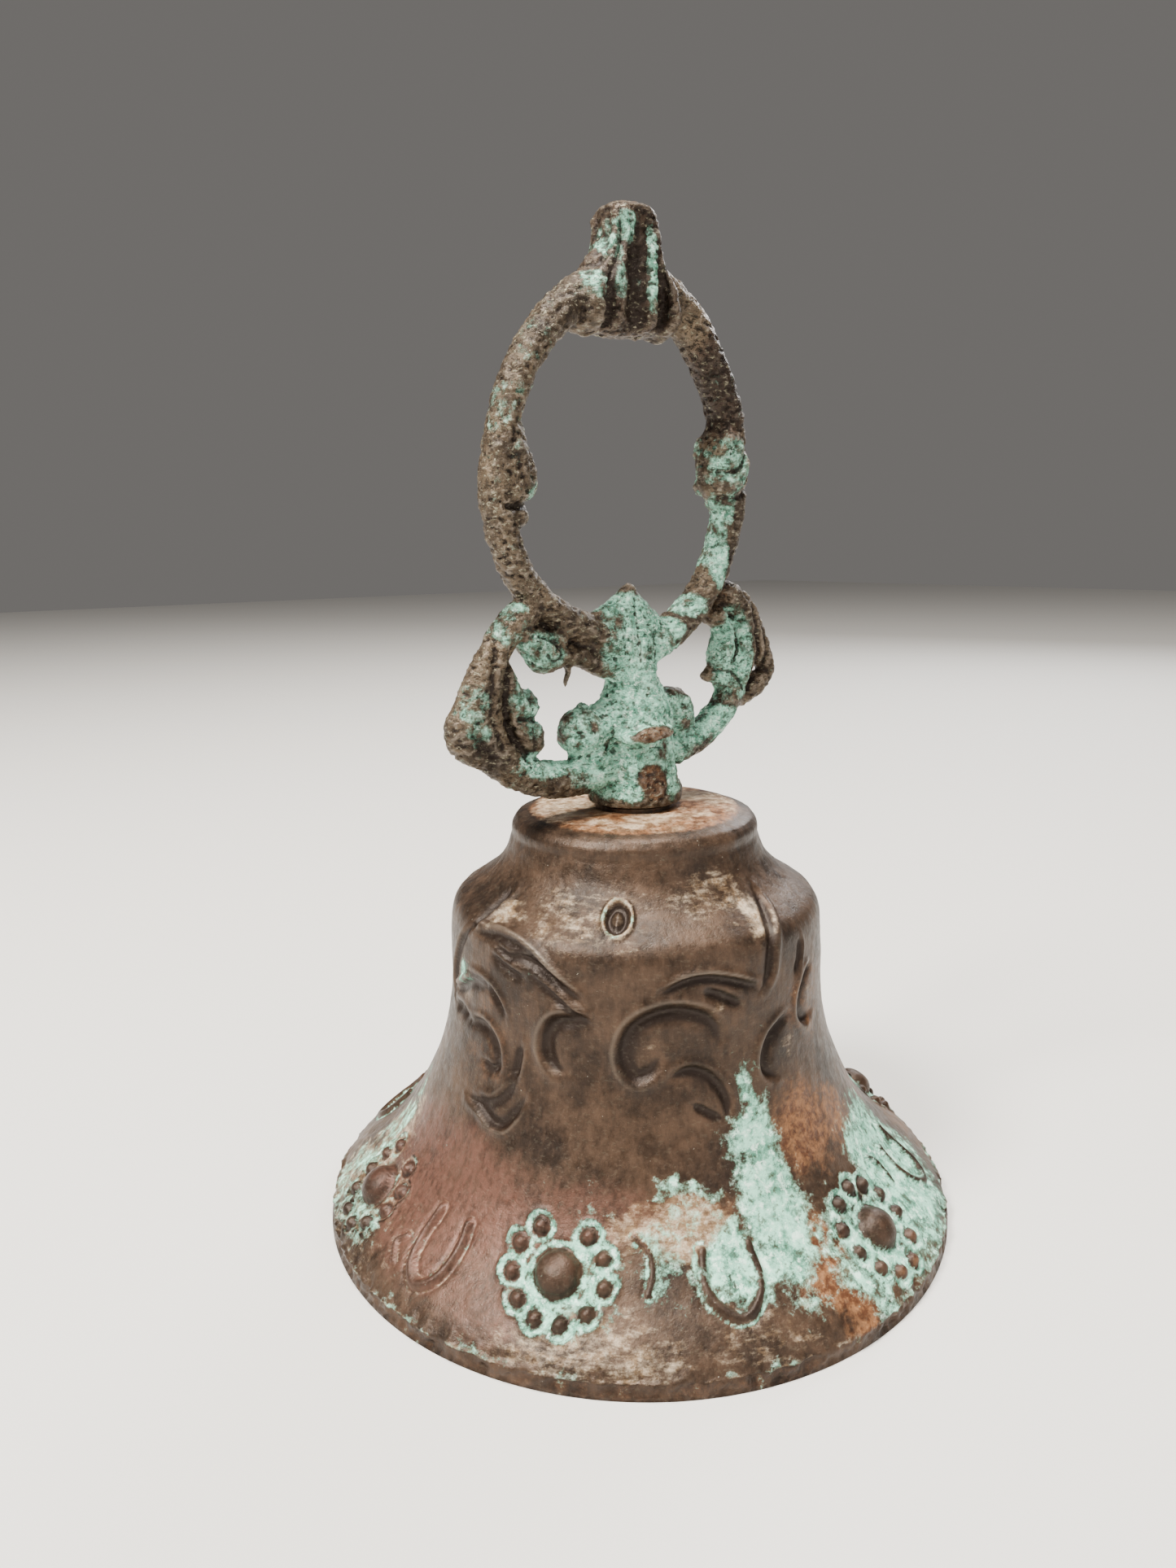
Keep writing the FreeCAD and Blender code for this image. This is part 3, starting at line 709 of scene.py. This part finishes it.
def carvings():
    """Veins, flutes and volute turns, as (x, z) lines with width and depth in mm."""
    return [
        ([(-5.3, 106.8), (-5.5, 109.4), (-5.3, 111.9), (-4.1, 114.4), (-3.5, 117.2)], 0.55, 0.8),
        ([(-1.6, 107.2), (-1.8, 110.0), (-1.9, 112.2), (-1.7, 114.4)], 0.95, 0.8),
        ([(-1.6, 114.6), (-1.2, 117.0)], 0.4, 0.35),
        ([(2.4, 107.2), (2.5, 110.0), (1.9, 112.6)], 0.45, 0.6),
        ([(-8.8, 112.4), (-6.0, 111.6), (-4.2, 109.6)], 0.4, 0.55),
        ([(-20.4, 73.2), (-21.0, 69.0), (-21.4, 65.4), (-20.0, 61.4)], 0.45, 0.35),
        ([(-18.2, 72.0), (-18.9, 67.4), (-18.7, 63.4), (-16.6, 59.6)], 0.4, 0.5),
        ([(-25.4, 61.8), (-22.6, 61.6), (-20.8, 60.2)], 0.35, 0.4),
        ([(-17.6, 64.2), (-14.2, 63.6)], 0.3, 0.45),
        ([(-15.9, 66.4), (-15.4, 64.8)], 0.3, 0.3),
        ([(-15.6, 62.8), (-15.2, 60.4)], 0.35, 0.4),
        ([(18.2, 75.0), (19.2, 71.4), (19.4, 67.4), (17.6, 64.4)], 0.4, 0.6),
        ([(19.8, 73.6), (20.8, 70.4), (20.4, 67.0), (18.6, 65.2)], 0.3, 0.4),
        ([(12.6, 67.4), (15.2, 66.6), (16.6, 64.6)], 0.35, 0.5),
        ([(15.4, 72.8), (16.0, 70.2), (15.4, 68.4)], 0.3, 0.45),
        ([(-9.8, 61.7), (-9.5, 61.2)], 0.6, 0.7),
        ([(-5.6, 59.4), (-5.3, 61.6), (-5.9, 63.6)], 0.5, 0.35),
        ([(-0.8, 77.0), (-1.2, 73.4), (-1.0, 69.6)], 0.3, 0.3),
        ([(-0.2, 75.6), (1.2, 72.6), (1.6, 69.4)], 0.3, 0.3),
        ([(-2.4, 75.0), (-3.2, 72.4), (-2.6, 69.8)], 0.3, 0.25),
        ([(6.2, 62.3), (6.6, 62.0)], 0.35, 0.35),
        ([(-17.2, 92.6), (-16.8, 90.2), (-15.6, 88.6)], 0.3, 0.25),
        ([(-18.6, 87.2), (-16.4, 87.3), (-14.4, 87.4)], 0.35, 0.6),
        ([(11.6, 91.6), (13.8, 91.8), (15.8, 94.0), (16.8, 96.6)], 0.4, 0.55),
        ([(11.6, 88.5), (14.2, 88.4), (17.0, 90.2), (18.2, 92.4)], 0.35, 0.45),
        ([(-14.8, 73.4), (-12.4, 72.4), (-11.6, 71.2), (-12.8, 70.2), (-13.8, 71.0)], 0.35, 0.5),
    ]


# Green patches of the handle as (x, z, half width, half height, amount)
GREEN_SPOTS = [(-2, 60, 10, 8, 1.0), (0, 69, 6, 8, 0.8), (-2, 75, 4, 3, 0.7), (4, 73, 2.4, 1.6, 0.9),
               (-13, 58.6, 6, 1.8, 0.75), (-15.5, 66, 3, 5, 0.6), (-18.4, 75, 3, 3, 0.5),
               (-23, 65, 2, 4, 0.45), (-14, 71.6, 3.4, 2.4, 0.6), (15, 69, 3.4, 6.5, 0.85),
               (11, 60.5, 7, 2.6, 0.95), (6.5, 62, 3, 3, 0.7), (-2.6, 116.8, 1.5, 1.8, 0.9),
               (0.6, 114.6, 0.7, 3.6, 0.9), (0.6, 110, 0.8, 2.6, 0.8), (-4.4, 114.6, 1.0, 1.6, 0.75),
               (-7.0, 110.6, 1.4, 1.7, 0.75), (-4.0, 111, 0.9, 2.2, 0.5), (13.4, 92.5, 3, 3.6, 0.62),
               (12, 83, 1.5, 7, 0.75), (12.6, 87, 1.8, 3, 0.6), (8, 75.6, 3, 1.6, 0.6),
               (-17.4, 96, 2.5, 5, 0.3), (-15, 89, 1.2, 2, 0.4), (-14, 102, 3, 5, 0.25)]


def handle_masks(points, normals, bend, carved):
    """Green on the stem, foot, inner scrolls and hollows; brown and worn on the loop, ridges lightened partly
    as a painted highlight, hollows darkened, and a painted shadow on the loop's upper right bar.
    """
    x, y, z = points.T

    def spot(px, pz, rx, rz):
        d = np.hypot((x - px) / rx, (z - pz) / rz)
        return step(d, 1.25, 0.65)

    green = np.zeros(len(points))
    for px, pz, rx, rz, amount in GREEN_SPOTS:
        green = np.maximum(green, amount * spot(px, pz, rx, rz))
    green = np.maximum(green * (0.95 + 0.65 * field(points, 2.3, 3, 17.0)), 0.12)
    hollow = np.clip(-bend, 0, 1)
    ridge = np.clip(bend, 0, 1)
    foot_band = step(z, 54.0, 52.6)
    green = green * (1 - 0.55 * foot_band) + 0.25 * hollow * step(green, 0.1, 0.6)
    front = step(-y, 0.0, 3.0)
    brown = np.maximum(spot(-1.0, 55.2, 2.0, 2.6) * front, spot(-1.4, 61.1, 3.2, 1.1) * step(-y, 4.7, 5.3))
    green = green * (1 - 0.9 * brown)
    # Painted shadow on the loop's upper right bar, and the finial's body made darker: both pull towards the
    # dark red-brown and the groove darkening, and clear the dust.
    bar_shadow_and_dark_finial = np.maximum(spot(12.5, 102, 5, 7), 0.8 * spot(-1.4, 112, 6.5, 10))
    dust = np.maximum(0.3 * step(normals[:, 2], 0.2, 0.9), 0.3 * spot(-15, 100, 5, 12))
    return {"verdigris": green,
            "rust": 0.3 * spot(9, 75, 6, 5) + 0.25 * spot(15, 82, 4, 8) + 0.6 * brown,
            "red": 0.2 + 0.5 * bar_shadow_and_dark_finial,
            "dust": dust * (1 - bar_shadow_and_dark_finial),
            "cavity": np.clip(0.7 * hollow + 0.5 * carved + 0.4 * bar_shadow_and_dark_finial, 0, 1),
            "worn": ridge * 0.8}


# ---------------------------------------------------------------- materials

class Nodes:
    """Short calls for building a node tree."""

    def __init__(self, material):
        material.use_nodes = True
        self.tree = material.node_tree
        self.tree.nodes.clear()

    def new(self, kind, **settings):
        node = self.tree.nodes.new(kind)
        for key, value in settings.items():
            setattr(node, key, value)
        return node

    def link(self, source, socket):
        if hasattr(source, "is_output"):
            self.tree.links.new(source, socket)
        else:
            socket.default_value = source

    def noise(self, vector, scale, detail, rough):
        node = self.new("ShaderNodeTexNoise")
        self.link(vector, node.inputs["Vector"])
        node.inputs["Scale"].default_value = scale
        node.inputs["Detail"].default_value = detail
        node.inputs["Roughness"].default_value = rough
        return node.outputs["Fac"]

    def spread(self, value, low, high, to_low=0.0, to_high=1.0):
        node = self.new("ShaderNodeMapRange", interpolation_type="SMOOTHSTEP")
        self.link(value, node.inputs["Value"])
        node.inputs["From Min"].default_value = low
        node.inputs["From Max"].default_value = high
        node.inputs["To Min"].default_value = to_low
        node.inputs["To Max"].default_value = to_high
        return node.outputs["Result"]

    def math(self, operation, a, b):
        node = self.new("ShaderNodeMath", operation=operation)
        self.link(a, node.inputs[0])
        self.link(b, node.inputs[1])
        return node.outputs[0]

    def plus(self, a, b):
        return self.math("ADD", a, b)

    def minus(self, a, b):
        return self.math("SUBTRACT", a, b)

    def times(self, a, b):
        return self.math("MULTIPLY", a, b)

    def mix(self, factor, a, b):
        node = self.new("ShaderNodeMix", data_type="RGBA")
        self.link(factor, node.inputs["Factor"])
        self.link(a if hasattr(a, "is_output") else (*a, 1.0), node.inputs["A"])
        self.link(b if hasattr(b, "is_output") else (*b, 1.0), node.inputs["B"])
        return node.outputs["Result"]

    def stretched(self, vector, x, y, z):
        node = self.new("ShaderNodeMapping")
        self.link(vector, node.inputs["Vector"])
        node.inputs["Scale"].default_value = (x, y, z)
        return node.outputs["Vector"]

    def output(self, shader):
        out = self.new("ShaderNodeOutputMaterial")
        self.link(shader.outputs["BSDF"], out.inputs["Surface"])

    def bumped_output(self, shader, height, strength, depth):
        """Output of the shader with its surface raised by the height, whose full range is depth in mm."""
        bump = self.new("ShaderNodeBump")
        bump.inputs["Strength"].default_value = strength
        bump.inputs["Distance"].default_value = depth * MM
        self.link(height, bump.inputs["Height"])
        self.link(bump.outputs["Normal"], shader.inputs["Normal"])
        self.output(shader)

    def masks(self, name):
        attribute = self.new("ShaderNodeAttribute", attribute_name=name)
        split = self.new("ShaderNodeSeparateColor")
        self.link(attribute.outputs["Color"], split.inputs["Color"])
        return split.outputs


# Linear colours of the patina's layers
RUST_DARK = (0.075, 0.028, 0.012)
RUST_LIGHT = (0.25, 0.115, 0.048)
# Lightens ridges and tool-mark rims: wear, and partly a painted highlight
WORN_AND_HIGHLIGHT_METAL = (0.30, 0.25, 0.20)
DUST_BROWN = (0.31, 0.205, 0.115)
DUST_PALE = (0.58, 0.47, 0.34)
LIME_SPECK = (0.55, 0.52, 0.44)
# Darkens grooves, hollows, bead seats, domes and the inside of the bell, partly as painted shade; on the
# handle it also carries a painted shadow
DARK_GROOVES_AND_SHADE = (0.016, 0.009, 0.006)
GREEN_DEEP = (0.075, 0.24, 0.165)
GREEN_MID = (0.33, 0.68, 0.52)
GREEN_PALE = (0.68, 0.92, 0.79)
GREEN_DIRT = (0.055, 0.07, 0.04)
PIT_DIRT = (0.022, 0.017, 0.010)
# Colours of painted glints on tiny ridges, over bare metal and over verdigris
GLINT_ON_METAL = (0.34, 0.31, 0.22)
GLINT_ON_GREEN = (0.70, 0.93, 0.80)


def patina(name, dark, light, red, grain_scale, bump_depth, metal, pits_and_glints):
    """Aged cast brass: brown skin with streaks, rust, dust, dark pits and crusty verdigris; painted glints on
    tiny ridges, worn ridges lightened partly as a painted highlight and grooves darkened partly as painted
    shade.
    """
    material = bpy.data.materials.new(name)
    n = Nodes(material)
    place = n.new("ShaderNodeTexCoord").outputs["Object"]
    green_mask, rust_mask, red_mask = n.masks("mask_a")[:3]
    dust_mask, cavity, worn = n.masks("mask_b")[:3]

    streaks = n.noise(n.stretched(place, 1, 1, 0.24), 1500, 5, 0.7)
    rings = n.noise(n.stretched(place, 0.4, 0.4, 1.7), 1100, 5, 0.7)
    clouds = n.noise(place, 150, 6, 0.65)
    fine = n.noise(place, grain_scale, 4, 0.75)
    specks = n.noise(place, 2300, 2, 0.5)
    crust = n.noise(place, 620, 7, 0.75)
    dents = n.noise(n.stretched(place, 1, 1, 1.9), 1500, 4, 0.65)

    # Bare metal
    tone = n.plus(n.times(clouds, 0.75), n.times(n.plus(streaks, fine), 0.24))
    color = n.mix(n.spread(tone, 0.46, 0.82), dark, light)
    reddish = n.spread(n.plus(red_mask, n.times(clouds, 0.9)), 0.75, 1.35)
    color = n.mix(n.times(reddish, n.spread(streaks, 0.34, 0.62, 0.35, 1.0)), color, red)
    rust_amount = n.spread(n.plus(rust_mask, n.times(crust, 1.1)), 0.82, 1.45)
    rust_color = n.mix(n.spread(fine, 0.38, 0.64), RUST_DARK, RUST_LIGHT)
    color = n.mix(n.times(rust_amount, 0.85), color, rust_color)
    # Ridges and rims lightened as wear and partly as a painted highlight
    color = n.mix(n.times(n.spread(worn, 0.3, 0.95), 0.45), color, WORN_AND_HIGHLIGHT_METAL)

    # Pale dust and lime, in rings left by turning and in single specks
    grit = n.plus(n.times(rings, 0.7), n.times(crust, 0.6))
    dust_amount = n.spread(n.plus(n.times(dust_mask, 0.5), grit), 0.88, 1.26)
    dust_color = n.mix(n.spread(fine, 0.42, 0.58), DUST_BROWN, DUST_PALE)
    color = n.mix(n.times(dust_amount, 0.8), color, dust_color)
    dot = n.spread(specks, 0.75, 0.80)
    color = n.mix(n.times(dot, 0.45), color, LIME_SPECK)
    # Darkening in grooves and hollows, partly painted shade
    color = n.mix(n.times(n.spread(cavity, 0.10, 0.55), 0.96), color, DARK_GROOVES_AND_SHADE)

    # Verdigris
    soft = n.plus(n.times(crust, 1.7), n.times(fine, 0.8))
    green_amount = n.spread(n.plus(green_mask, soft), 1.55, 2.05)
    green_amount = n.times(green_amount, n.spread(cavity, 0.35, 0.8, 1.0, 0.1))
    green = n.mix(n.spread(crust, 0.38, 0.60), GREEN_DEEP, GREEN_MID)
    green = n.mix(n.times(n.spread(fine, 0.53, 0.66), 0.8), green, GREEN_PALE)
    green = n.mix(n.times(n.spread(fine, 0.45, 0.34), 0.8), green, GREEN_DIRT)
    color = n.mix(green_amount, color, green)
    pit = n.times(n.spread(dents, 0.45, 0.36), n.times(n.spread(clouds, 0.4, 0.6, 0.45, 1.0), pits_and_glints))
    color = n.mix(pit, color, PIT_DIRT)
    # Painted glints on tiny ridges
    glint = n.times(n.spread(dents, 0.55, 0.66), pits_and_glints)
    pale = n.mix(green_amount, GLINT_ON_METAL, GLINT_ON_GREEN)
    color = n.mix(n.times(glint, 0.8), color, pale)

    shader = n.new("ShaderNodeBsdfPrincipled")
    n.link(color, shader.inputs["Base Color"])
    bare = n.minus(1.0, n.math("MAXIMUM", green_amount, n.math("MAXIMUM", rust_amount, dust_amount)))
    n.link(n.times(bare, metal), shader.inputs["Metallic"])
    rough = n.plus(n.spread(green_amount, 0, 1, 0.44, 0.85),
                   n.times(n.minus(fine, 0.5), 0.6))
    n.link(n.minus(rough, n.times(worn, 0.06)), shader.inputs["Roughness"])
    shader.inputs["Specular IOR Level"].default_value = 0.3
    height = n.plus(n.times(fine, 0.6), n.times(streaks, 0.35))
    height = n.plus(height, n.times(n.times(crust, green_amount), 1.3))
    height = n.minus(height, n.times(pit, 0.7))
    height = n.plus(height, n.times(glint, 0.6))
    n.bumped_output(shader, height, 1.0, bump_depth)
    return material


def old_metal(name, dark, light, stain, roughness, metal, scale):
    """Small fittings: dull metal with stains and fine pitting."""
    material = bpy.data.materials.new(name)
    n = Nodes(material)
    place = n.new("ShaderNodeTexCoord").outputs["Object"]
    broad = n.noise(place, scale, 5, 0.6)
    fine = n.noise(place, scale * 6, 4, 0.65)
    color = n.mix(n.spread(broad, 0.35, 0.68), dark, light)
    color = n.mix(n.times(n.spread(fine, 0.52, 0.7), 0.7), color, stain)
    shader = n.new("ShaderNodeBsdfPrincipled")
    n.link(color, shader.inputs["Base Color"])
    shader.inputs["Metallic"].default_value = metal
    n.link(n.spread(fine, 0.3, 0.7, roughness - 0.12, roughness + 0.18), shader.inputs["Roughness"])
    n.bumped_output(shader, fine, 0.8, 0.06)
    return material


def paint(piece, material):
    piece.data.materials.clear()
    piece.data.materials.append(material)


# ---------------------------------------------------------------- build

bell = make_bell()
paint(bell, patina("aged_bell_brass", (0.016, 0.0095, 0.006), (0.080, 0.047, 0.029), (0.118, 0.054, 0.038),
                   900, 0.14, 0.38, 0.06))
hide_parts("bell_body")
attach(bell, "bell")

handle = make_handle()
paint(handle, patina("aged_handle_brass", (0.018, 0.0115, 0.0075), (0.150, 0.108, 0.068),
                     (0.07, 0.036, 0.022), 1300, 0.26, 0.35, 0.85))
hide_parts("handle")
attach(handle, "bell")

fitting = old_metal("oxidised_fitting", (0.035, 0.028, 0.023), (0.19, 0.15, 0.12), (0.13, 0.06, 0.03),
                    0.5, 0.8, 260)
wire = old_metal("rusty_wire", (0.05, 0.033, 0.024), (0.20, 0.15, 0.11), (0.20, 0.085, 0.035), 0.55, 0.7, 320)
ball = old_metal("dull_ball", (0.10, 0.065, 0.032), (0.34, 0.24, 0.12), (0.09, 0.16, 0.11), 0.42, 0.85, 180)
looks = {"seat_washer": fitting, "inner_washer": fitting, "lock_nut": fitting, "eye_stud": fitting,
         "link_ring": wire, "clapper_rod": wire, "clapper_ball": ball}
for node, material in looks.items():
    paint(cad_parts[node], material)


# ---------------------------------------------------------------- floor, light and camera

def stage_floor():
    size = 1.6
    mesh = bpy.data.meshes.new("floor")
    corners = [(-size, -size, 0), (size, -size, 0), (size, size, 0), (-size, size, 0)]
    mesh.from_pydata(corners, [], [(0, 1, 2, 3)])
    floor = add_object("floor", mesh)
    material = bpy.data.materials.new("floor_paint")
    n = Nodes(material)
    shader = n.new("ShaderNodeBsdfPrincipled")
    shader.inputs["Base Color"].default_value = (0.66, 0.65, 0.63, 1)
    shader.inputs["Roughness"].default_value = 0.75
    n.output(shader)
    mesh.materials.append(material)
    floor.location.z = -0.05 * MM


def area_light(name, place, target, size, power, color=(1, 1, 1)):
    data = bpy.data.lights.new(name, "AREA")
    data.shape = "DISK"
    data.size = size
    data.energy = power
    data.color = color
    lamp = add_object(name, data)
    lamp.location = place
    lamp.rotation_euler = (Vector(target) - Vector(place)).to_track_quat("-Z", "Y").to_euler()


def turned(x, y, z):
    """The object's frame for a place given as the camera sees it: x to its right, y away from it."""
    a = math.radians(ORNAMENT_TURN)
    return (x * math.cos(a) - y * math.sin(a), x * math.sin(a) + y * math.cos(a), z)


def make_lights():
    target = (0, 0, 0.05)
    area_light("key", turned(-0.38, -0.30, 0.60), target, 0.24, 13.0, (1.0, 0.95, 0.87))
    area_light("fill", turned(0.55, -0.45, 0.30), target, 0.45, 1.2, (1.0, 0.96, 0.92))
    area_light("front", turned(0.0, -0.42, 0.62), target, 0.30, 1.8, (1.0, 0.94, 0.86))
    area_light("top", turned(0.02, 0.02, 0.75), target, 0.26, 11.5, (1.0, 0.94, 0.86))
    area_light("rim", turned(0.30, 0.55, 0.40), target, 0.30, 3.0)
    world = bpy.data.worlds.new("studio")
    bpy.context.scene.world = world
    world.use_nodes = True
    world.node_tree.nodes["Background"].inputs["Color"].default_value = (0.85, 0.81, 0.77, 1)
    world.node_tree.nodes["Background"].inputs["Strength"].default_value = 0.19


def make_camera():
    """Handheld view from close by, at two thirds of the bell's height and tilted down a little."""
    distance = 132.1 * MM
    height = 83.4 * MM
    focal_length = 24.959004
    yaw, pitch, roll = (math.radians(v) for v in (-2.49, 12.53, -0.82))
    forward = Vector((math.sin(yaw) * math.cos(pitch), math.cos(yaw) * math.cos(pitch), -math.sin(pitch)))
    level = Vector((math.cos(yaw), -math.sin(yaw), 0))
    above = level.cross(forward)
    right = math.cos(roll) * level + math.sin(roll) * above
    up = -math.sin(roll) * level + math.cos(roll) * above
    basis = Matrix((right, up, -forward)).transposed().to_4x4()
    spin = Matrix.Rotation(math.radians(ORNAMENT_TURN), 4, "Z")
    data = bpy.data.cameras.new("camera")
    data.sensor_width = 36.0
    data.sensor_height = 36.0
    data.lens = focal_length
    data.clip_start = 0.005
    data.clip_end = 20.0
    camera = add_object("camera", data)
    camera.matrix_world = spin @ Matrix.Translation((0, -distance, height)) @ basis
    bpy.context.scene.camera = camera


stage_floor()
make_lights()
make_camera()
